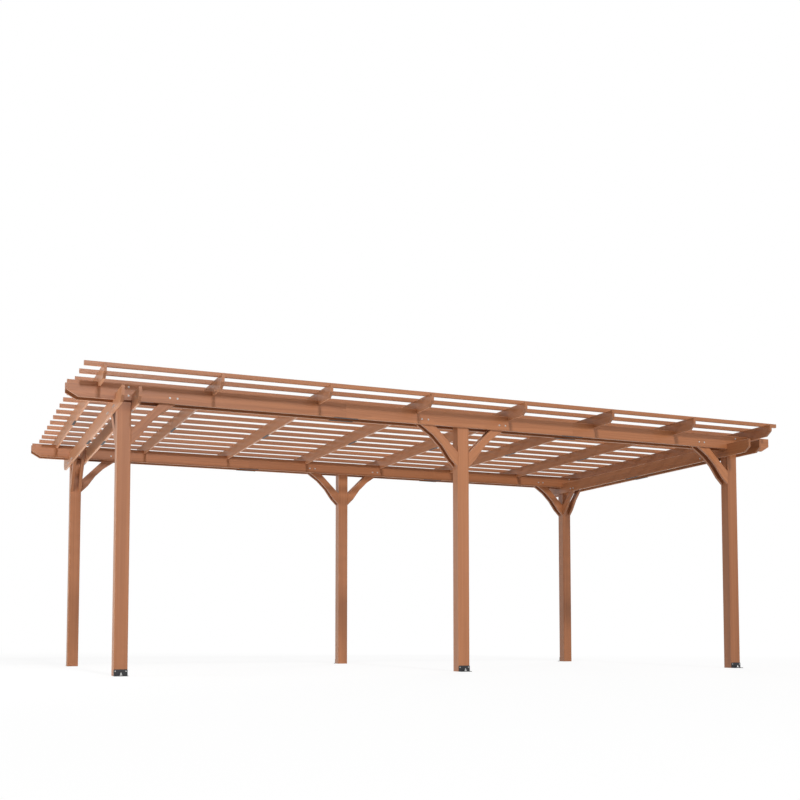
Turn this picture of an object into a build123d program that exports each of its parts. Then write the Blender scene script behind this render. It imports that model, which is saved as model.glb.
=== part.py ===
from build123d import *
import os

# A freestanding cedar pergola: six posts in two rows, a pair of boards clasping each row
# and each end, rafters notched over the beams, slats let into the rafters, and arched
# knee braces between post and beam. Millimetres. X runs along the length, the front is
# towards -Y, and Z is up from the ground.

# Posts
post_width = 100
post_spacing = 2762
row_spacing = 2900
post_edge_ease = 3

# Boards of the beams and rafters
board_thickness = 21
board_edge_ease = 2
butt_gap = 0.5
notch_clearance = 0.3

# Front and rear beams, each a pair of boards in three lengths
beam_overhang = 411
beam_joint_inset = 1722
beam_bottom = 2012
beam_height = 121
beam_nose_run = 80
beam_nose_rise = 46

# End beams, each a pair of boards in two lengths, let into the underside of the long beams
end_beam_overhang = 364
end_beam_lap = 46
end_beam_height = 113
end_beam_nose_run = 60
end_beam_nose_rise = 42

# Rafters, single boards in two lengths, lapped over the long beams
rafter_count = 8
rafter_inset = 135
rafter_overhang = 363
rafter_lap = 31
rafter_height = 103
rafter_nose_run = 60
rafter_nose_rise = 42

# Slats
slat_count = 14
slat_inset = 93.75
slat_setback = 91
slat_width = 25
slat_height = 33
slat_seat_depth = 8
slat_edge_ease = 2

# Knee braces, each a pair of boards at 45 degrees, with an arch of three cuts in the underside
brace_thickness = 26
brace_drop = 323
brace_foot_height = 117
brace_arch_inset = 63
brace_arch_run = 258
brace_arch_lift = 15
brace_arch_shares = (0, 1 / 3, 2 / 3, 1)
brace_top_clearance = 10
brace_edge_ease = 2

# Steel strips under the joints of the boards
strip_length = 200
strip_thickness = 3
strip_edge_margin = 1

# Steel angle at the foot of each post, as wide as the post
angle_leg_height = 49
angle_flange_depth = 47
angle_thickness = 4
angle_bend_radius = 4
angle_corner_ease = 5
anchor_hole_radius = 7
screw_hole_radius = 3
screw_hole_inset = 11
screw_hole_drop = 14

# Length by which a cutting tool runs past what it cuts
overrun = 10

beam_length = 2 * (post_spacing + beam_overhang)
end_beam_length = row_spacing + 2 * end_beam_overhang
rafter_length = row_spacing + 2 * rafter_overhang
slat_length = beam_length - 2 * slat_setback
beam_top = beam_bottom + beam_height
end_beam_top = beam_bottom + end_beam_lap
end_beam_bottom = end_beam_top - end_beam_height
rafter_bottom = beam_top - rafter_lap
slat_bottom = rafter_bottom + rafter_height - slat_seat_depth
brace_foot_bottom = beam_bottom - brace_drop
post_half = post_width / 2
angle_width = post_width
board_offset = (post_width + board_thickness) / 2
row_places = {"front": -row_spacing / 2, "rear": row_spacing / 2}
post_places = {"left": -post_spacing, "middle": 0, "right": post_spacing}
quarter_turn = Rot(0, 0, 90)
half_turn = Rot(0, 0, 180)


def evenly(count, span):
    """Places of a row of like pieces over a span that is centred on zero."""
    return [(i / (count - 1) - 1 / 2) * span for i in range(count)]


def pair(centre):
    """Centre lines of the two boards that clasp a post."""
    return [centre - board_offset, centre + board_offset]


def eased_bar(length, width, height, ease):
    """A straight bar along X, standing on z = 0, with its long edges eased."""
    section = Rectangle(width, height, align=(Align.CENTER, Align.MIN))
    section = chamfer(section.vertices(), ease)
    return extrude(Plane.YZ * section, amount=length / 2, both=True)


def nosed_outline(length, height, nose_run, nose_rise):
    """Side view of a board whose two ends are cut away below."""
    half = length / 2
    return make_face(
        Polyline(
            (-half, height),
            (half, height),
            (half, nose_rise),
            (half - nose_run, 0),
            (nose_run - half, 0),
            (-half, nose_rise),
            close=True,
        )
    )


def seats(places, width, depth, edge, side):
    """Rectangles that notch an edge of a board's side view, each open on that edge."""
    cut = Rectangle(width + 2 * notch_clearance, depth, align=(Align.CENTER, side))
    return [Pos(place, edge) * cut for place in places]


def joint_cuts(places, height):
    """Narrow gaps where the lengths of a board meet end to end."""
    cut = Rectangle(butt_gap, height, align=(Align.CENTER, Align.MIN))
    return [Pos(place, 0) * cut for place in places]


def board(outline, cuts, length, height):
    """A board along X with eased long edges, from its side view and what is cut from it."""
    side_view = outline - cuts
    blank = extrude(Plane.XZ * side_view, amount=board_thickness, both=True)
    return blank & eased_bar(length, board_thickness, height, board_edge_ease)


def post():
    """A post from the ground to the top of the beams."""
    section = chamfer(Rectangle(post_width, post_width).vertices(), post_edge_ease)
    return extrude(section, amount=beam_top)


def brace(top):
    """A knee brace that rises along +X from a post centred on zero: a board flush with each face.

    Three straight cuts make the arch in a lower edge that is parallel to the upper one,
    and the top is cut level between the boards.
    """
    rise = beam_top - brace_foot_bottom
    foot = Pos(post_half, brace_foot_bottom)
    upper = [(rise, rise), (rise - brace_foot_height, rise), (0, brace_foot_height), (0, 0)]
    arch_places = [brace_arch_inset + share * brace_arch_run for share in brace_arch_shares]
    arch_lifts = (0, brace_arch_lift, brace_arch_lift, 0)
    arch = [(place - lift, place + lift) for place, lift in zip(arch_places, arch_lifts)]
    side_view = foot * make_face(Polyline(*upper, *arch, close=True))
    side_view -= Pos(post_half, top) * Rectangle(rise, rise, align=(Align.MIN, Align.MIN))
    blank = extrude(Plane.XZ * side_view, amount=brace_thickness / 2, both=True)
    faces = blank.faces().sort_by(Axis.Y)
    eased = chamfer(faces[0].edges() + faces[-1].edges(), brace_edge_ease)
    return Compound([Pos(0, y, 0) * eased for y in evenly(2, post_width - brace_thickness)])


def strip():
    """A steel strip along X with its top face on z = 0."""
    width = board_thickness - 2 * strip_edge_margin
    return Box(strip_length, width, strip_thickness, align=(Align.CENTER, Align.CENTER, Align.MAX))


def foot_angle():
    """A post's steel angle: the leg's back on the plane y = 0, the flange towards -Y."""
    align = (Align.CENTER, Align.MAX, Align.MIN)
    angle = Box(angle_width, angle_thickness, angle_leg_height, align=align)
    angle += Box(angle_width, angle_flange_depth, angle_thickness, align=align)
    bend = angle.edges().filter_by(Axis.X).sort_by_distance((0, -angle_thickness, angle_thickness))[0]
    angle = fillet(bend, angle_bend_radius)
    corners = angle.edges().filter_by(Axis.Y).sort_by(Axis.Z)[-2:]
    corners += angle.edges().filter_by(Axis.Z).sort_by(Axis.Y)[:2]
    angle = chamfer(corners, angle_corner_ease)
    hole_depth = 2 * angle_thickness + overrun
    angle -= Pos(0, -(angle_flange_depth + angle_thickness) / 2, 0) * Cylinder(anchor_hole_radius, hole_depth)
    screw_hole = Rot(90, 0, 0) * Cylinder(screw_hole_radius, hole_depth)
    for x in evenly(2, angle_width - 2 * screw_hole_inset):
        angle -= Pos(x, 0, angle_leg_height - screw_hole_drop) * screw_hole
    return angle


def save(name, pieces):
    """Write one named node from the solids of its pieces."""
    solids = [solid for piece in pieces for solid in piece.solids()]
    node = solids[0] if len(solids) == 1 else Compound(solids)
    export_step(node, os.path.join("parts", f"{name}.step"))


os.makedirs("parts", exist_ok=True)

row_boards = pair(row_places["front"]) + pair(row_places["rear"])
end_boards = pair(post_places["left"]) + pair(post_places["right"])
rafter_places = evenly(rafter_count, slat_length - 2 * rafter_inset)
slat_places = evenly(slat_count, rafter_length - 2 * slat_inset)
beam_joints = evenly(2, 2 * (post_spacing - beam_joint_inset))
cross_joints = [0]

# Beams: the long boards drop over the end boards
beam_outline = nosed_outline(beam_length, beam_height, beam_nose_run, beam_nose_rise)
beam_cuts = seats(end_boards, board_thickness, end_beam_lap, 0, Align.MIN)
beam_cuts += joint_cuts(beam_joints, beam_height)
beam_board = board(beam_outline, beam_cuts, beam_length, beam_height)
for row, y in row_places.items():
    save(f"{row}_beam", [Pos(0, place, beam_bottom) * beam_board for place in pair(y)])

end_outline = nosed_outline(end_beam_length, end_beam_height, end_beam_nose_run, end_beam_nose_rise)
end_cuts = joint_cuts(cross_joints, end_beam_height)
end_board = quarter_turn * board(end_outline, end_cuts, end_beam_length, end_beam_height)
for end in ("left", "right"):
    boards = [Pos(place, 0, end_beam_bottom) * end_board for place in pair(post_places[end])]
    save(f"{end}_end_beam", boards)

# Rafters: notched over the four long boards, with a seat on top for every slat
rafter_outline = nosed_outline(rafter_length, rafter_height, rafter_nose_run, rafter_nose_rise)
rafter_cuts = seats(row_boards, board_thickness, rafter_lap, 0, Align.MIN)
rafter_cuts += seats(slat_places, slat_width, slat_seat_depth, rafter_height, Align.MAX)
rafter_cuts += joint_cuts(cross_joints, rafter_height)
rafter = quarter_turn * board(rafter_outline, rafter_cuts, rafter_length, rafter_height)
for number, x in enumerate(rafter_places, 1):
    save(f"rafter_{number}", [Pos(x, 0, rafter_bottom) * rafter])

slat = eased_bar(slat_length, slat_width, slat_height, slat_edge_ease)
for number, y in enumerate(slat_places, 1):
    save(f"slat_{number:02d}", [Pos(0, y, slat_bottom) * slat])

# Posts, each with its two braces and its foot angle on the outer side of the row
beam_brace = brace(rafter_bottom - brace_top_clearance)
end_brace = brace(end_beam_top - brace_top_clearance)
inward_turn = {"left": Rot(0, 0, 0), "right": half_turn}
row_turn = {"front": Rot(0, 0, 0), "rear": half_turn}
for row, y in row_places.items():
    for column, x in post_places.items():
        place = Pos(x, y, 0)
        save(f"post_{row}_{column}", [place * post()])
        if column == "middle":
            braces = [beam_brace, half_turn * beam_brace]
        else:
            braces = [inward_turn[column] * beam_brace, row_turn[row] * quarter_turn * end_brace]
        save(f"braces_{row}_{column}", [place * piece for piece in braces])
        save(f"foot_angle_{row}_{column}", [place * row_turn[row] * Pos(0, -post_half, 0) * foot_angle()])

# Steel strips under every joint of the boards
strips = [Pos(x, y, beam_bottom) * strip() for x in beam_joints for y in row_boards]
strips += [Pos(x, y, end_beam_bottom) * quarter_turn * strip() for x in end_boards for y in cross_joints]
strips += [Pos(x, y, rafter_bottom) * quarter_turn * strip() for x in rafter_places for y in cross_joints]
save("joint_strips", strips)
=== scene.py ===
import math

import bpy
import numpy as np
from bpy.props import FloatProperty, FloatVectorProperty, IntProperty, PointerProperty
from bpy.types import Operator, Panel, PropertyGroup
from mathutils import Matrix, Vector


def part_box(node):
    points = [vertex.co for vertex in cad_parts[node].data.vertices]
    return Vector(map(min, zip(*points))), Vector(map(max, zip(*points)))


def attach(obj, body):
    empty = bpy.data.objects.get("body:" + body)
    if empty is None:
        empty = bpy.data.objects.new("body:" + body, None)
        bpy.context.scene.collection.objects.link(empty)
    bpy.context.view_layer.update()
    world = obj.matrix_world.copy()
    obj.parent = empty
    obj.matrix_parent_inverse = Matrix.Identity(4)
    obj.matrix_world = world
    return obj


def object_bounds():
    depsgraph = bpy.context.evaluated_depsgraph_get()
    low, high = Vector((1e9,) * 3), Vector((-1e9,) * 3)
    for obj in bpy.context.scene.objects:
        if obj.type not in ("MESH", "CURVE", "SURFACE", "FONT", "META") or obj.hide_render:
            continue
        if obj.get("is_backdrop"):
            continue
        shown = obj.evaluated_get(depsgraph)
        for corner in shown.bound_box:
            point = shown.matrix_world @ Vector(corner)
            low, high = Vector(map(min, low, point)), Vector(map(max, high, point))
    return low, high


bl_info = {
    "name": "Cedar pergola dresser",
    "version": (1, 0, 0),
    "blender": (4, 5, 0),
    "location": "View3D > Sidebar > Pergola",
    "description": "Dresses the packed pergola with cedar grain, bolts and anchors, and sets its stage",
    "category": "Object",
}

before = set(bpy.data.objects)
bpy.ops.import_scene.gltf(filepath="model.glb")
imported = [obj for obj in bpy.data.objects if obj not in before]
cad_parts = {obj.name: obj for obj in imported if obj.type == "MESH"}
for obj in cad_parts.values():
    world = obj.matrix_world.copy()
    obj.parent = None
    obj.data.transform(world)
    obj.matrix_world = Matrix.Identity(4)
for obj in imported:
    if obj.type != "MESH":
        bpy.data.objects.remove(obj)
CAD_LOW, CAD_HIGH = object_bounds()


def middle(node):
    """Centre of a CAD node's box."""
    low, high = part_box(node)
    return (low + high) / 2


def level(node):
    """Height of the middle of a CAD node's box."""
    low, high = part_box(node)
    return (low.z + high.z) / 2


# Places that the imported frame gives, in metres. X runs along the pergola and the front is -Y.
POST_SPACING = middle("post_front_right").x
ROW = middle("post_rear_right").y
POST_LOW, POST_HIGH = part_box("post_front_right")
POST_HALF = (POST_HIGH.x - POST_LOW.x) / 2
BEAM_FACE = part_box("rear_beam")[1].y
END_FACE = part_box("right_end_beam")[1].x
BOARD = BEAM_FACE - ROW - POST_HALF
BEAM_INNER_FACE = ROW - POST_HALF - BOARD
END_INNER_FACE = POST_SPACING - POST_HALF - BOARD
RAFTER_PITCH = middle("rafter_2").x - middle("rafter_1").x
SLAT_PITCH = middle("slat_02").y - middle("slat_01").y
FLANGE_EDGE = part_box("foot_angle_rear_right")[1].y
COLUMNS = np.array([-POST_SPACING, 0, POST_SPACING])
ROWS = (("front", -1), ("rear", 1))
ENDS = (("left", -1), ("right", 1))

# Seeds of each kind of board's random tones, chosen to bring the tones near the photograph's. The rafters'
# seed was picked so the rafters grow darker towards the right end, which is painted shade on top of their
# random tones.
POST_SEED = 286.5
BEAM_SEED = 2955.5
END_BEAM_SEED = 278.5
RAFTER_SEED = 6694.5
SLAT_SEED = 23.5
BRACE_SEED = 2149.5

# Where the heart of the log lies from the middle of a board, and how far along the log a board
# may start, in metres
HEART_NEAREST = 0.03
HEART_SPREAD = 0.12
HEART_DEPTH_SPREAD = 0.16
LOG_LENGTH = 9

# Noise in the cedar, with its waves to the metre along the grain, across it and into the board
BEND_SCALES = (0.9, 7, 7)
BEND_DETAIL = 2
BEND_REACH = 0.03
STREAK_SCALES = (0.5, 42, 42)
STREAK_SHIFT = 5
FIBRE_SCALES = (5, 420, 420)
FINE_DETAIL = 3

# How rings, streaks and fibres darken the cedar, and how it shines
RING_POWER = 3
SHADE_RING = 0.3
SHADE_STREAK = 1.2
SHADE_FIBRE = 0.5
SHADE_BASE = 0.32
CUT_FROM = 0.25
CUT_TO = 0.8
CUT_SHARE = 0.2
BUMP_RING = 0.5
BUMP_STRENGTH = 0.25
BUMP_DISTANCE = 0.0006
CEDAR_ROUGHNESS = 0.3
RING_ROUGHNESS = 0.12
CEDAR_SPECULAR = 0.52
SHEEN_WEIGHT = 1
SHEEN_ROUGHNESS = 0.35

# A brace's slope, and the height on the post's centre line that its grain is measured from, in metres
DIAGONAL = math.sqrt(0.5)
BRACE_LEVEL = 1.6

# Unevenness of the steel's gloss
CLOUD_SCALES = (90, 90, 90)
CLOUD_DETAIL = 2
CLOUD_SPREAD = 0.2

# Fixed sizes of the hardware, in metres
WASHER_BORE = 0.0005
HEAD_RIM = 0.0008
NUT_HEIGHT = 0.0065
BOLT_END_BASE = 0.004
BOLT_END_TOP = 0.0105
ANCHOR_WASHER_RADIUS = 0.0115
ANCHOR_WASHER_CROWN = 0.011
ANCHOR_WASHER_RIM = 0.0015
ANCHOR_WASHER_TOP = 0.002
ANCHOR_NUT_RADIUS = 0.0088
ANCHOR_NUT_HEIGHT = 0.008
ANCHOR_FOOT = 0.0003
SCREW_RIM = 0.0012
SCREW_HEIGHT = 0.0026

# Shares of a washer's thickness, a nut's radius and height, a rod's radius and a screw's radius
WASHER_EASE = 0.3
NUT_CROWN = 0.9
NUT_EASE = 0.15
ROD_EASE = 0.3
BOLT_SHARE = 0.6
SCREW_CROWN = 0.6

# Sides of the turned pieces, steps in a dome and the angle past which an edge stays sharp
DISC_SIDES = 20
DOME_SIDES = 16
ROD_SIDES = 12
NUT_SIDES = 6
DOME_STEPS = 5
SHARP_ANGLE = math.radians(40)

# Stage: lengths in metres, and the sensor in millimetres
WHITE = (1, 1, 1, 1)
FLOOR_DROP = 0.001
SENSOR_WIDTH = 36
CAMERA_REACH = 500


class PergolaTimber(PropertyGroup):
    """The look of the cedar."""

    earlywood: FloatVectorProperty(
        name="Earlywood", description="Pale wood between the rings",
        subtype="COLOR", default=(0.458, 0.18, 0.074),
    )
    latewood: FloatVectorProperty(
        name="Latewood", description="Dark line of each ring",
        subtype="COLOR", default=(0.27, 0.095, 0.034),
    )
    sheen: FloatVectorProperty(
        name="Sheen", description="Tint of the wood seen at a slant",
        subtype="COLOR", default=(1, 0.6, 0.38),
    )
    end_grain: FloatVectorProperty(
        name="End grain", description="Cut ends of boards and posts",
        subtype="COLOR", default=(0.25, 0.1, 0.045),
    )
    ring: FloatProperty(
        name="Ring width", description="Growth of one year",
        unit="LENGTH", default=0.0045, min=0.0005,
    )
    board_tone: FloatProperty(
        name="Board tone", description="How much boards differ in tone",
        subtype="FACTOR", default=0.5, min=0, max=1,
    )
    beam_joint: FloatProperty(
        name="Beam joint", description="From the middle post to a joint of the long boards",
        unit="LENGTH", default=1.04,
    )


class PergolaHardware(PropertyGroup):
    """Sizes and colours of the bolts, screws and anchors."""

    zinc: FloatVectorProperty(
        name="Zinc", description="Plated bolts and screws",
        subtype="COLOR", default=(0.52, 0.52, 0.51),
    )
    black: FloatVectorProperty(
        name="Black coat", description="Coating of the foot angles",
        subtype="COLOR", default=(0.012, 0.012, 0.014),
    )
    grey: FloatVectorProperty(
        name="Grey steel", description="Strips under the joints",
        subtype="COLOR", default=(0.055, 0.062, 0.066),
    )
    head_radius: FloatProperty(
        name="Head radius", description="Domed head of a through bolt", unit="LENGTH", default=0.006
    )
    head_height: FloatProperty(
        name="Head height", description="Rise of a domed head", unit="LENGTH", default=0.004
    )
    washer_radius: FloatProperty(
        name="Washer radius", description="Washer under a head or nut", unit="LENGTH", default=0.0075
    )
    washer_thickness: FloatProperty(
        name="Washer thickness", description="Washer under a head or nut", unit="LENGTH", default=0.0012
    )
    nut_radius: FloatProperty(
        name="Nut radius", description="From the centre to a corner of a bolt's nut",
        unit="LENGTH", default=0.0075,
    )
    anchor_radius: FloatProperty(
        name="Anchor radius", description="Threaded rod of a ground anchor", unit="LENGTH", default=0.005
    )
    anchor_height: FloatProperty(
        name="Anchor height", description="Top of a ground anchor above the ground",
        unit="LENGTH", default=0.026,
    )
    screw_radius: FloatProperty(
        name="Screw radius", description="Head of a wood screw", unit="LENGTH", default=0.0045
    )
    brace_bolts: FloatVectorProperty(
        name="Beam bolts", description="From a post's centre to the bolts of a beam brace",
        size=2, unit="LENGTH", default=(0.327, 0.384),
    )
    brace_bolt_height: FloatProperty(
        name="Beam bolt height", description="Height of the bolts of a beam brace",
        unit="LENGTH", default=2.054,
    )
    end_bolts: FloatVectorProperty(
        name="End bolts", description="From a post's centre to the bolts of an end brace",
        size=2, unit="LENGTH", default=(0.261, 0.316),
    )
    end_bolt_height: FloatProperty(
        name="End bolt height", description="Height of the bolts through the end boards",
        unit="LENGTH", default=1.977,
    )
    end_post_bolt: FloatProperty(
        name="End post bolt",
        description="From a corner post's centre to a coach screw that holds the outer end board",
        unit="LENGTH", default=0.0275,
    )
    corner_bolts: FloatVectorProperty(
        name="Corner bolts", description="Heights of the two bolts through a beam and a corner post",
        size=2, unit="LENGTH", default=(2.046, 2.11),
    )
    corner_shift: FloatProperty(
        name="Corner shift", description="From a corner post's centre to its bolts, along X",
        unit="LENGTH", default=0.025,
    )
    angle_plate: FloatProperty(
        name="Angle plate", description="Thickness of a foot angle", unit="LENGTH", default=0.004
    )
    angle_screw: FloatVectorProperty(
        name="Angle screws",
        description="From a post's centre to a screw of its foot angle, and the screw's height",
        size=2, unit="LENGTH", default=(0.039, 0.035),
    )


class PergolaStage(PropertyGroup):
    """Camera, lamps and floor."""

    eye: FloatVectorProperty(
        name="Eye", description="Where the camera stands",
        subtype="TRANSLATION", unit="LENGTH", default=(-4.047, -9.711, 0.2849),
    )
    pan: FloatProperty(
        name="Pan", description="Turn of the camera about the vertical", subtype="ANGLE", default=-0.3972
    )
    tilt: FloatProperty(
        name="Tilt", description="Rise of the camera's axis", subtype="ANGLE", default=0.0611
    )
    lens: FloatProperty(
        name="Lens", description="Focal length in millimetres on a 36 mm sensor", default=50.08, min=1
    )
    shift: FloatVectorProperty(
        name="Shift", description="Shift of the lens, in image widths", size=2, default=(0.0047, 0.2107)
    )
    key: FloatProperty(
        name="Key", description="Light that the key lamp gives a face turned to it", default=1.53, min=0
    )
    key_turn: FloatProperty(
        name="Key turn", description="Turn of the key lamp to the left of the front",
        subtype="ANGLE", default=math.radians(3),
    )
    key_rise: FloatProperty(
        name="Key rise", description="Height of the key lamp above the horizon",
        subtype="ANGLE", default=math.radians(28.7),
    )
    key_distance: FloatProperty(
        name="Key distance", description="From the front row's middle post to the key lamp",
        unit="LENGTH", default=40,
    )
    key_size: FloatVectorProperty(
        name="Key size", description="Width and height of the key lamp",
        size=2, unit="LENGTH", default=(3, 3),
    )
    front: FloatProperty(
        name="Front", description="Power of the wide lamp in front, in watts", default=1400, min=0
    )
    front_place: FloatVectorProperty(
        name="Front place", description="Where the wide lamp stands",
        subtype="TRANSLATION", unit="LENGTH", default=(4, -22, 2),
    )
    front_size: FloatVectorProperty(
        name="Front size", description="Width and height of the wide lamp",
        size=2, unit="LENGTH", default=(14, 7),
    )
    fill: FloatProperty(
        name="Fill", description="Power of the fill lamp on the left, in watts", default=255, min=0
    )
    fill_place: FloatVectorProperty(
        name="Fill place", description="Where the fill lamp stands",
        subtype="TRANSLATION", unit="LENGTH", default=(-7.5, -1.2, 1),
    )
    fill_size: FloatVectorProperty(
        name="Fill size", description="Width and height of the fill lamp",
        size=2, unit="LENGTH", default=(4, 2),
    )
    back: FloatProperty(
        name="Back", description="Power of the lamp behind and to the right, in watts", default=2300, min=0
    )
    back_place: FloatVectorProperty(
        name="Back place", description="Where the back lamp stands",
        subtype="TRANSLATION", unit="LENGTH", default=(14, 18, 8),
    )
    back_size: FloatVectorProperty(
        name="Back size", description="Width and height of the back lamp",
        size=2, unit="LENGTH", default=(8, 5),
    )
    sky: FloatProperty(
        name="Sky", description="Strength of the even light from all round", default=0.25, min=0
    )
    floor_tone: FloatProperty(
        name="Floor tone", description="How much light the floor gives back",
        subtype="FACTOR", default=0.52, min=0, max=1,
    )
    shadow: FloatProperty(
        name="Shadow", description="How much of the shadow shows on the floor",
        subtype="FACTOR", default=0.2, min=0, max=1,
    )
    shadow_fade: FloatVectorProperty(
        name="Shadow fade",
        description="From the pergola's middle to where its shadow starts to fade and where it is gone",
        size=2, unit="LENGTH", default=(5, 14),
    )
    floor_glow: FloatProperty(
        name="Floor glow", description="Glow that keeps the floor white beside the shadow",
        default=0.06, min=0,
    )
    floor_size: FloatProperty(
        name="Floor", description="Half the width of the floor", unit="LENGTH", default=60
    )
    floor_count: IntProperty(
        name="Floor cells", description="Cells along each side of the floor", default=8, min=1
    )


class Wire:
    """A value in a node tree. Its operators add Math nodes, so 1 - mask and a * b + c work."""

    def __init__(self, shader, socket):
        self.shader = shader
        self.socket = socket

    def math(self, operation, *values):
        """Adds a Math node."""
        return self.shader.node("ShaderNodeMath", {"operation": operation}, values)

    def __add__(self, other):
        return self.math("ADD", self, other)

    def __sub__(self, other):
        return self.math("SUBTRACT", self, other)

    def __rsub__(self, other):
        return self.math("SUBTRACT", other, self)

    def __mul__(self, other):
        return self.math("MULTIPLY", self, other)

    def __truediv__(self, other):
        return self.math("DIVIDE", self, other)

    def __pow__(self, other):
        return self.math("POWER", self, other)

    def __mod__(self, period):
        return self.math("FLOORED_MODULO", self, period)

    def __gt__(self, other):
        return self.math("GREATER_THAN", self, other)

    def __abs__(self):
        return self.math("ABSOLUTE", self)

    def __round__(self):
        return self.math("ROUND", self)

    def __floor__(self):
        return self.math("FLOOR", self)

    __radd__ = __add__
    __rmul__ = __mul__


class Shader:
    """The node tree of a material or of the world."""

    def __init__(self, owner):
        owner.use_nodes = True
        self.tree = owner.node_tree
        self.tree.nodes.clear()

    def node(self, kind, settings, sockets, output=0):
        """Adds a node, with its settings first and then the values or links of its sockets."""
        made = self.tree.nodes.new(kind)
        for key, value in settings.items():
            setattr(made, key, value)
        for key, value in sockets.items() if isinstance(sockets, dict) else enumerate(sockets):
            if isinstance(value, Wire):
                self.tree.links.new(value.socket, made.inputs[key])
            else:
                made.inputs[key].default_value = value
        return Wire(self, made.outputs[output]) if made.outputs else None

    def mix(self, factor, first, second):
        """Colours first and second, mixed by a value."""
        return self.node("ShaderNodeMix", {"data_type": "RGBA"}, {0: factor, 6: first, 7: second}, 2)

    def parts(self, vector):
        """The three values of a vector."""
        return [self.node("ShaderNodeSeparateXYZ", {}, [vector], axis) for axis in range(3)]

    def vector(self, *values):
        """A vector of three values."""
        return self.node("ShaderNodeCombineXYZ", {}, values)

    def place(self):
        """The three Object coordinates of a point."""
        return self.parts(self.node("ShaderNodeTexCoord", {}, {}, "Object"))

    def noise(self, scales, values, detail):
        """Noise whose grain is stretched by giving each value its own scale."""
        at = self.vector(*[value * scale for value, scale in zip(values, scales)])
        return self.node("ShaderNodeTexNoise", {}, {"Vector": at, "Scale": 1, "Detail": detail})

    def step(self, value, low, high):
        """0 below low, 1 above high and smooth between them."""
        settings = {"interpolation_type": "SMOOTHSTEP"}
        return self.node("ShaderNodeMapRange", settings, {"Value": value, "From Min": low, "From Max": high})

    def shown(self):
        """1 for what the camera sees straight, in metal or through glass, and 0 for light on the object."""
        rays = ("Is Camera Ray", "Is Glossy Ray", "Is Transmission Ray")
        camera, glossy, through = [self.node("ShaderNodeLightPath", {}, {}, ray) for ray in rays]
        return (camera + glossy + through) > 0.5

    def finish(self, surface, kind="ShaderNodeOutputMaterial"):
        """Links a surface to the output."""
        self.node(kind, {}, {"Surface": surface})


def opaque(colour):
    """A colour with a full fourth value."""
    return (*colour, 1)


def post_timber(shader, x, y, z):
    """A post's grain runs up. Its own axes are centred on the post."""
    column = round(x / POST_SPACING)
    return z, x - column * POST_SPACING, abs(y) - ROW, shader.vector(column, y > 0, POST_SEED)


def beam_timber(shader, x, y, z):
    """A long board's grain runs along X, and its joints part it into three lengths."""
    joint = bpy.context.scene.pergola_timber.beam_joint
    length = (x > -joint) + (x > joint)
    side = abs(y) > ROW
    local = abs(abs(y) - ROW) - POST_HALF - BOARD / 2
    return x, local, z - level("rear_beam"), shader.vector(length, (y > 0) * 2 + side, BEAM_SEED)


def end_beam_timber(shader, x, y, z):
    """An end board's grain runs along Y, in two lengths."""
    side = abs(x) > POST_SPACING
    local = abs(abs(x) - POST_SPACING) - POST_HALF - BOARD / 2
    return y, local, z - level("right_end_beam"), shader.vector(y > 0, (x > 0) * 2 + side, END_BEAM_SEED)


def rafter_timber(shader, x, y, z):
    """A rafter's grain runs along Y, in two lengths. Rafters stand in the middle of cells one pitch wide."""
    local = (x % RAFTER_PITCH) - RAFTER_PITCH / 2
    cell = math.floor(x / RAFTER_PITCH)
    # The rafters' seed makes their tones darker towards the right end: painted shade, not only random tone.
    return y, local, z - level("rafter_1"), shader.vector(cell, y > 0, RAFTER_SEED)


def slat_timber(shader, x, y, z):
    """A slat's grain runs along X. Slats stand in the middle of cells one pitch wide."""
    local = (y % SLAT_PITCH) - SLAT_PITCH / 2
    cell = math.floor(y / SLAT_PITCH)
    return x, local, z - level("slat_01"), shader.vector(cell, 0, SLAT_SEED)


def brace_timber(shader, x, y, z):
    """A brace's grain climbs at 45 degrees away from its post, along X or, on the end beams, along Y."""
    column = round(x / POST_SPACING)
    away_x = abs(x - column * POST_SPACING)
    away_y = abs(abs(y) - ROW)
    on_end = away_y > POST_HALF
    away = away_x + (away_y - away_x) * on_end
    local = away_y + (away_x - away_y) * on_end
    along = (z + away) * DIAGONAL
    across = (z - away - BRACE_LEVEL) * DIAGONAL
    outer = abs(y) > ROW
    side = outer + ((abs(x) > POST_SPACING) - outer) * on_end
    return along, local, across, shader.vector(column * 2 + (x > 0), (y > 0) * 2 + on_end, BRACE_SEED + side)


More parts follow.
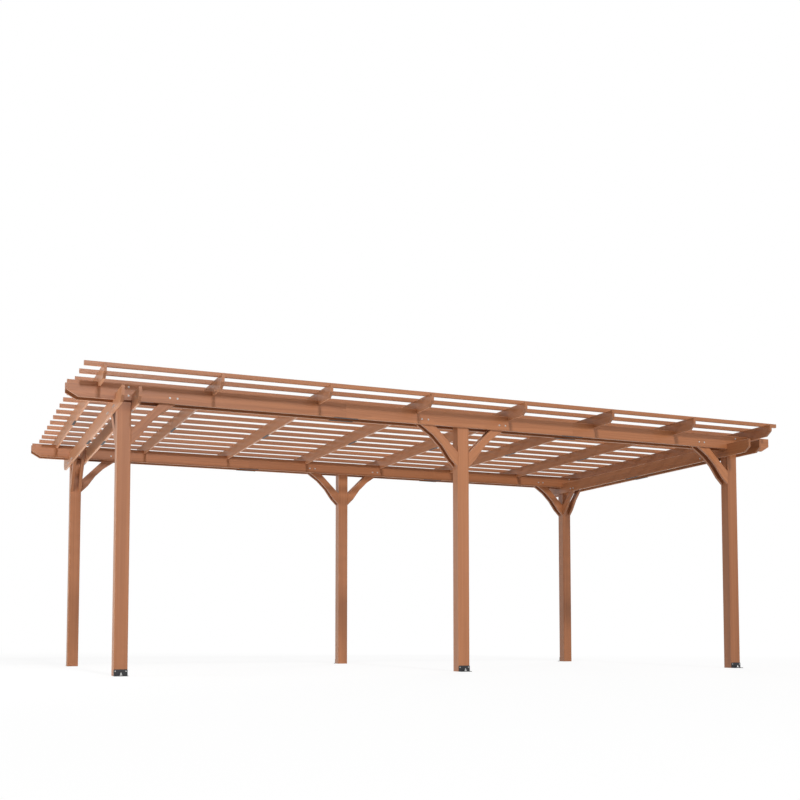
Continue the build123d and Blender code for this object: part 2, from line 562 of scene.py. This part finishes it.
def cedar(name, timber, grain_axis=None):
    """Cedar as a solid pattern, so that rings run along every face and curve on the cut ends.

    Each board gets three random numbers from its place. They set how far off the heart of
    the log lies, where along the log the board starts, and its tone. The ring pattern is the
    distance from that heart, bent by slow noise along the grain, divided by the ring width.
    Its fractional part rises slowly and falls at once, as latewood does.
    """
    look = bpy.context.scene.pergola_timber
    made = bpy.data.materials.new(name)
    shader = Shader(made)
    along, across, depth, seed = timber(shader, *shader.place())
    chance = shader.parts(shader.node("ShaderNodeTexWhiteNoise", {}, {"Vector": seed}, "Color"))
    heart_across = HEART_NEAREST + HEART_SPREAD * chance[0]
    heart_depth = HEART_DEPTH_SPREAD * (chance[1] - 0.5)
    start = along + LOG_LENGTH * chance[2]
    bend = shader.noise(BEND_SCALES, (start, across + chance[0], depth + chance[1]), BEND_DETAIL)
    radius = ((across + heart_across) ** 2 + (depth + heart_depth) ** 2) ** 0.5 + BEND_REACH * bend
    ring = (radius / look.ring) % 1
    late = ring ** RING_POWER
    streak = shader.noise(STREAK_SCALES, (start, across + STREAK_SHIFT * chance[1], depth), FINE_DETAIL)
    fibre = shader.noise(FIBRE_SCALES, (start, across, depth), FINE_DETAIL)
    grain = SHADE_RING * late + SHADE_STREAK * (streak - 0.5) + SHADE_FIBRE * (fibre - 0.5)
    # A board's tone comes from its seed. For the rafters it also carries painted shade, darker towards the
    # right end.
    shade = grain + SHADE_BASE + look.board_tone * (chance[2] - 0.5)
    colour = shader.mix(shade, opaque(look.earlywood), opaque(look.latewood))
    if grain_axis is not None:
        facing = shader.parts(shader.node("ShaderNodeNewGeometry", {}, {}, "True Normal"))[grain_axis]
        cut = shader.step(abs(facing), CUT_FROM, CUT_TO)
        colour = shader.mix(CUT_SHARE * cut, colour, opaque(look.end_grain))
    relief = {"Strength": BUMP_STRENGTH, "Distance": BUMP_DISTANCE, "Height": fibre + BUMP_RING * late}
    sockets = {
        "Base Color": colour,
        "Roughness": CEDAR_ROUGHNESS + RING_ROUGHNESS * late,
        "Normal": shader.node("ShaderNodeBump", {}, relief),
        "Specular IOR Level": CEDAR_SPECULAR,
        "Sheen Weight": SHEEN_WEIGHT,
        "Sheen Roughness": SHEEN_ROUGHNESS,
        "Sheen Tint": opaque(look.sheen),
    }
    shader.finish(shader.node("ShaderNodeBsdfPrincipled", {}, sockets))
    return made


def steel(name, colour, metallic, roughness):
    """Plain steel with a faint unevenness in its gloss."""
    made = bpy.data.materials.new(name)
    shader = Shader(made)
    cloud = shader.noise(CLOUD_SCALES, shader.place(), CLOUD_DETAIL)
    rough = roughness + CLOUD_SPREAD * (cloud - 0.5)
    sockets = {"Base Color": opaque(colour), "Metallic": metallic, "Roughness": rough}
    shader.finish(shader.node("ShaderNodeBsdfPrincipled", {}, sockets))
    return made


def dress(material, prefix):
    """Gives a material to the CAD nodes whose names begin with a prefix."""
    found = [node for name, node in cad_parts.items() if name.startswith(prefix)]
    if not found:
        raise RuntimeError(f"the packed model has no node that begins with {prefix}")
    for node in found:
        node.data.materials.clear()
        node.data.materials.append(material)


def turned(profile, sides):
    """A profile of (radius, height) points turned about +Z, closed by a flat face at each end.

    Point (i, j) has the radius and height of the profile's point i, at j parts of a full
    turn. Quads join neighbours in i and j, and j wraps round.
    """
    radius, height = np.array(profile).T
    turn = 2 * np.pi * np.arange(sides) / sides
    ring = np.stack([np.cos(turn), np.sin(turn), np.zeros(sides)], axis=-1)
    points = radius[:, None, None] * ring + height[:, None, None] * np.array([0, 0, 1])
    i, j = np.meshgrid(np.arange(len(radius) - 1), np.arange(sides), indexing="ij")
    here = i * sides + j
    there = i * sides + (j + 1) % sides
    quads = np.stack([here, there, there + sides, here + sides], axis=-1).reshape(-1, 4)
    last = (len(radius) - 1) * sides
    caps = np.stack([np.arange(sides)[::-1], last + np.arange(sides)])
    return points.reshape(-1, 3), quads, caps


def copies(shape, places, outward):
    """A shape built on +Z, set at every place with its axis along the outward direction.

    The two other axes are the cross products of that direction with a third one, so a copy
    is its points times that frame, plus its place.
    """
    points, quads, caps = shape
    places, axis = np.broadcast_arrays(np.asarray(places, float), np.asarray(outward, float))
    other = np.where(np.abs(axis[:, 2:]) > 0.5, [[1.0, 0, 0]], [[0, 0, 1.0]])
    side = np.cross(other, axis)
    frames = np.stack([side, np.cross(axis, side), axis], axis=-1)
    moved = np.einsum("nij,mj->nmi", frames, points) + places[:, None, :]
    offset = len(points) * np.arange(len(places))[:, None, None]
    own_quads = (quads + offset).reshape(-1, 4)
    own_caps = (caps + offset).reshape(-1, caps.shape[1])
    return moved.reshape(-1, 3), own_quads, own_caps


def add_piece(name, groups):
    """Joins groups of copies into one zinc mesh with its place in its points, riding on the frame."""
    points = np.concatenate([moved for moved, quads, caps in groups])
    faces = []
    count = 0
    for moved, quads, caps in groups:
        faces += (quads + count).tolist() + (caps + count).tolist()
        count += len(moved)
    mesh = bpy.data.meshes.new(name)
    mesh.from_pydata(points.tolist(), [], faces)
    mesh.shade_smooth()
    mesh.set_sharp_from_angle(angle=SHARP_ANGLE)
    mesh.materials.append(bpy.data.materials["zinc_plate"])
    piece = bpy.data.objects.new(name, mesh)
    bpy.context.scene.collection.objects.link(piece)
    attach(piece, "root")


def washer(sizes):
    """A flat disc with a broken upper edge."""
    radius = sizes.washer_radius
    thick = sizes.washer_thickness
    ease = WASHER_EASE * thick
    edge = [(radius, 0), (radius, thick - ease), (radius - ease, thick)]
    return turned([*edge, (WASHER_BORE, thick)], DISC_SIDES)


def domed_head(sizes):
    """A low dome: its profile is a quarter of an ellipse from the rim to the crown."""
    angle = np.linspace(0, np.pi / 2, DOME_STEPS + 1)[:-1]
    base = sizes.washer_thickness
    rise = base + HEAD_RIM + sizes.head_height * np.sin(angle)
    dome = np.stack([sizes.head_radius * np.cos(angle), rise], axis=-1)
    return turned([(sizes.head_radius, base), *dome], DOME_SIDES)


def hexagon_nut(radius, base, height):
    """A six-sided nut whose corners are broken at both ends."""
    crown = NUT_CROWN * radius
    ease = NUT_EASE * height
    top = base + height
    return turned([(crown, base), (radius, base + ease), (radius, top - ease), (crown, top)], NUT_SIDES)


def rod_end(radius, base, top):
    """The end of a bolt with a broken edge."""
    ease = ROD_EASE * radius
    return turned([(radius, base), (radius, top - ease), (radius - ease, top)], ROD_SIDES)


def bolt_groups(sizes, heads, nuts, direction):
    """Heads with washers at one set of places, and nuts with washers, facing the other way, at another."""
    direction = np.asarray(direction, float)
    nut = hexagon_nut(sizes.nut_radius, sizes.washer_thickness, NUT_HEIGHT)
    end = rod_end(BOLT_SHARE * sizes.nut_radius, BOLT_END_BASE, BOLT_END_TOP)
    return [
        copies(washer(sizes), heads, direction),
        copies(domed_head(sizes), heads, direction),
        copies(washer(sizes), nuts, -direction),
        copies(nut, nuts, -direction),
        copies(end, nuts, -direction),
    ]


class PERGOLA_OT_dress_timber(Operator):
    """Gives every post, board, slat and brace its cedar"""

    bl_idname = "pergola.dress_timber"
    bl_label = "Dress timber"

    def execute(self, context):
        dress(cedar("cedar_posts", post_timber, 2), "post_")
        beams = cedar("cedar_long_beams", beam_timber, 0)
        dress(beams, "front_beam")
        dress(beams, "rear_beam")
        ends = cedar("cedar_end_beams", end_beam_timber, 1)
        dress(ends, "left_end_beam")
        dress(ends, "right_end_beam")
        dress(cedar("cedar_rafters", rafter_timber, 1), "rafter_")
        dress(cedar("cedar_slats", slat_timber, 0), "slat_")
        dress(cedar("cedar_braces", brace_timber), "braces_")
        return {"FINISHED"}


class PERGOLA_OT_dress_steel(Operator):
    """Gives the foot angles and joint strips their steel, and makes the zinc of the bolts"""

    bl_idname = "pergola.dress_steel"
    bl_label = "Dress steel"

    def execute(self, context):
        sizes = context.scene.pergola_hardware
        dress(steel("black_coated_steel", sizes.black, metallic=0, roughness=0.5), "foot_angle_")
        dress(steel("grey_strip_steel", sizes.grey, metallic=0.6, roughness=0.5), "joint_strips")
        steel("zinc_plate", sizes.zinc, metallic=0.85, roughness=0.4)
        return {"FINISHED"}


class PERGOLA_OT_add_beam_bolts(Operator):
    """Bolts each beam brace and corner post through the long boards"""

    bl_idname = "pergola.add_beam_bolts"
    bl_label = "Add beam bolts"

    def execute(self, context):
        sizes = context.scene.pergola_hardware
        reach = np.array(sizes.brace_bolts)
        along = np.concatenate([reach - POST_SPACING, -reach, reach, POST_SPACING - reach])
        braces = np.stack([along, np.full(len(along), sizes.brace_bolt_height)], axis=-1)
        corner_x, corner_z = np.meshgrid(COLUMNS[[0, 2]] + sizes.corner_shift, sizes.corner_bolts)
        corners = np.stack([corner_x.ravel(), corner_z.ravel()], axis=-1)
        spots = np.concatenate([braces, corners])
        for row, side in ROWS:
            heads = np.insert(spots, 1, side * BEAM_FACE, axis=1)
            nuts = np.insert(spots, 1, side * BEAM_INNER_FACE, axis=1)
            add_piece(f"{row}_beam_bolts", bolt_groups(sizes, heads, nuts, (0, side, 0)))
        return {"FINISHED"}


class PERGOLA_OT_add_end_bolts(Operator):
    """Bolts each end brace through the end boards, and screws the outer boards to the corner posts"""

    bl_idname = "pergola.add_end_bolts"
    bl_label = "Add end bolts"

    def execute(self, context):
        sizes = context.scene.pergola_hardware
        reach = np.array(sizes.end_bolts)
        braces = np.concatenate([reach - ROW, ROW - reach])
        posts = np.array([-ROW, ROW])[:, None] + [-sizes.end_post_bolt, sizes.end_post_bolt]
        along = np.concatenate([braces, posts.ravel()])
        spots = np.stack([along, np.full(len(along), sizes.end_bolt_height)], axis=-1)
        for end, side in ENDS:
            heads = np.insert(spots, 0, side * END_FACE, axis=1)
            nuts = np.insert(spots[: len(braces)], 0, side * END_INNER_FACE, axis=1)
            add_piece(f"{end}_end_beam_bolts", bolt_groups(sizes, heads, nuts, (side, 0, 0)))
        return {"FINISHED"}


class PERGOLA_OT_add_anchors(Operator):
    """Sets a ground anchor and two screws in each foot angle"""

    bl_idname = "pergola.add_anchors"
    bl_label = "Add anchors"

    def execute(self, context):
        sizes = context.scene.pergola_hardware
        flange_top = sizes.angle_plate
        leg_face = ROW + POST_HALF + sizes.angle_plate
        hole = (leg_face + FLANGE_EDGE) / 2
        screw_away, screw_height = sizes.angle_screw
        screw_x = (COLUMNS[:, None] + [-screw_away, screw_away]).ravel()
        anchor = self.anchor_shapes(sizes, flange_top)
        screw = self.screw_shape(sizes.screw_radius)
        for row, side in ROWS:
            feet = np.stack(np.broadcast_arrays(COLUMNS, side * hole, flange_top), axis=-1)
            screws = np.stack(np.broadcast_arrays(screw_x, side * leg_face, screw_height), axis=-1)
            groups = [copies(shape, feet, (0, 0, 1)) for shape in anchor]
            groups.append(copies(screw, screws, (0, side, 0)))
            add_piece(f"{row}_ground_anchors", groups)
        return {"FINISHED"}

    def anchor_shapes(self, sizes, flange_top):
        """A washer with a broken upper edge, a nut, and a rod that rises from just above the ground."""
        disc = [
            (ANCHOR_WASHER_RADIUS, 0),
            (ANCHOR_WASHER_RADIUS, ANCHOR_WASHER_RIM),
            (ANCHOR_WASHER_CROWN, ANCHOR_WASHER_TOP),
        ]
        return [
            turned(disc, DISC_SIDES),
            hexagon_nut(ANCHOR_NUT_RADIUS, ANCHOR_WASHER_TOP, ANCHOR_NUT_HEIGHT),
            rod_end(sizes.anchor_radius, ANCHOR_FOOT - flange_top, sizes.anchor_height - flange_top),
        ]

    def screw_shape(self, radius):
        """A low screw head that narrows to its crown."""
        return turned([(radius, 0), (radius, SCREW_RIM), (SCREW_CROWN * radius, SCREW_HEIGHT)], ROD_SIDES)


class PERGOLA_OT_set_stage(Operator):
    """Sets the floor, lamps, sky and camera"""

    bl_idname = "pergola.set_stage"
    bl_label = "Set stage"

    def execute(self, context):
        stage = context.scene.pergola_stage
        self.lay_floor(context, stage)
        self.hang_lamps(context, stage)
        self.light_sky(context, stage)
        self.set_camera(context, stage)
        context.scene.view_settings.view_transform = "Standard"
        return {"FINISHED"}

    def lay_floor(self, context, stage):
        """A flat grid of square cells just under the posts: point (i, j) lies i and j cells from a corner."""
        count = stage.floor_count + 1
        line = np.linspace(-stage.floor_size, stage.floor_size, count)
        x, y = np.meshgrid(line, line, indexing="ij")
        points = np.stack([x, y, np.full_like(x, -FLOOR_DROP)], axis=-1).reshape(-1, 3)
        i, j = np.meshgrid(np.arange(count - 1), np.arange(count - 1), indexing="ij")
        corner = i * count + j
        quads = np.stack([corner, corner + count, corner + count + 1, corner + 1], axis=-1).reshape(-1, 4)
        mesh = bpy.data.meshes.new("floor")
        mesh.from_pydata(points.tolist(), [], quads.tolist())
        mesh.materials.append(self.pale_floor(stage))
        floor = bpy.data.objects.new("floor", mesh)
        context.scene.collection.objects.link(floor)
        floor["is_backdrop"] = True

    def pale_floor(self, stage):
        """A floor that shows white and keeps a share of the shadow, which fades out away from the middle."""
        made = bpy.data.materials.new("pale_floor")
        shader = Shader(made)
        seen = shader.shown()
        x, y, z = shader.place()
        near = 1 - shader.step((x**2 + y**2) ** 0.5, *stage.shadow_fade)
        tone = shader.mix(seen, opaque([stage.floor_tone] * 3), WHITE)
        matt = shader.node("ShaderNodeBsdfDiffuse", {}, {"Color": tone})
        glow = {"Color": WHITE, "Strength": 1 + stage.floor_glow * near}
        white = shader.node("ShaderNodeEmission", {}, glow)
        share = seen * (1 - stage.shadow * near)
        shader.finish(shader.node("ShaderNodeMixShader", {}, {0: share, 1: matt, 2: white}))
        return made

    def hang_lamps(self, context, stage):
        """A key lamp in front and above, a wide one in front, a fill on the left and one behind on the right.

        All face the front row's middle post, and the three soft ones stay out of reflections.
        """
        aim = middle("post_front_middle")
        away = stage.key_distance * math.cos(stage.key_rise)
        rise = stage.key_distance * math.sin(stage.key_rise)
        offset = Vector((-away * math.sin(stage.key_turn), -away * math.cos(stage.key_turn), rise))
        power = stage.key * math.pi * stage.key_distance**2
        self.hang(context, "key", power, stage.key_size, aim + offset, aim)
        soft = [
            self.hang(context, "front", stage.front, stage.front_size, stage.front_place, aim),
            self.hang(context, "fill", stage.fill, stage.fill_size, stage.fill_place, aim),
            self.hang(context, "back", stage.back, stage.back_size, stage.back_place, aim),
        ]
        for lamp in soft:
            lamp.visible_glossy = False

    def hang(self, context, name, power, size, place, aim):
        """Hangs a flat lamp at a place and turns it to its aim."""
        lamp = bpy.data.lights.new(name, "AREA")
        lamp.shape = "RECTANGLE"
        lamp.energy = power
        lamp.size, lamp.size_y = size
        hung = bpy.data.objects.new(name, lamp)
        hung.location = place
        hung.rotation_euler = (aim - hung.location).to_track_quat("-Z", "Y").to_euler()
        context.scene.collection.objects.link(hung)
        return hung

    def light_sky(self, context, stage):
        """An even sky that shows white to the camera and in metal."""
        world = bpy.data.worlds.new("studio")
        shader = Shader(world)
        strength = stage.sky + (1 - stage.sky) * shader.shown()
        sky = shader.node("ShaderNodeBackground", {}, {"Color": WHITE, "Strength": strength})
        shader.finish(sky, "ShaderNodeOutputWorld")
        context.scene.world = world

    def set_camera(self, context, stage):
        """The photograph's camera: low, in front and to the left."""
        data = bpy.data.cameras.new("camera")
        data.lens = stage.lens
        data.sensor_width = SENSOR_WIDTH
        data.shift_x, data.shift_y = stage.shift
        data.clip_end = CAMERA_REACH
        camera = bpy.data.objects.new("camera", data)
        camera.location = stage.eye
        camera.rotation_euler = (math.pi / 2 + stage.tilt, 0, stage.pan)
        context.scene.collection.objects.link(camera)
        context.scene.camera = camera


STEPS = (
    PERGOLA_OT_dress_timber,
    PERGOLA_OT_dress_steel,
    PERGOLA_OT_add_beam_bolts,
    PERGOLA_OT_add_end_bolts,
    PERGOLA_OT_add_anchors,
    PERGOLA_OT_set_stage,
)


class PERGOLA_PT_panel(Panel):
    """Lists the steps and their settings"""

    bl_idname = "PERGOLA_PT_panel"
    bl_label = "Cedar pergola"
    bl_space_type = "VIEW_3D"
    bl_region_type = "UI"
    bl_category = "Pergola"

    def draw(self, context):
        for step in STEPS:
            self.layout.operator(step.bl_idname)
        scene = context.scene
        for settings in (scene.pergola_timber, scene.pergola_hardware, scene.pergola_stage):
            box = self.layout.box()
            for name in settings.__annotations__:
                box.prop(settings, name)


CLASSES = (PergolaTimber, PergolaHardware, PergolaStage, *STEPS, PERGOLA_PT_panel)


def register():
    """Registers the classes and hangs the settings on the scene."""
    for made in CLASSES:
        bpy.utils.register_class(made)
    bpy.types.Scene.pergola_timber = PointerProperty(type=PergolaTimber)
    bpy.types.Scene.pergola_hardware = PointerProperty(type=PergolaHardware)
    bpy.types.Scene.pergola_stage = PointerProperty(type=PergolaStage)


def unregister():
    """Takes the settings and the classes away again."""
    del bpy.types.Scene.pergola_stage
    del bpy.types.Scene.pergola_hardware
    del bpy.types.Scene.pergola_timber
    for made in reversed(CLASSES):
        bpy.utils.unregister_class(made)


def main():
    """Runs every step."""
    register()
    bpy.ops.pergola.dress_timber()
    bpy.ops.pergola.dress_steel()
    bpy.ops.pergola.add_beam_bolts()
    bpy.ops.pergola.add_end_bolts()
    bpy.ops.pergola.add_anchors()
    bpy.ops.pergola.set_stage()
    low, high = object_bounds()
    boxes = {"cad": [list(CAD_LOW), list(CAD_HIGH)], "visual": [list(low), list(high)]}


if __name__ == "__main__":
    main()
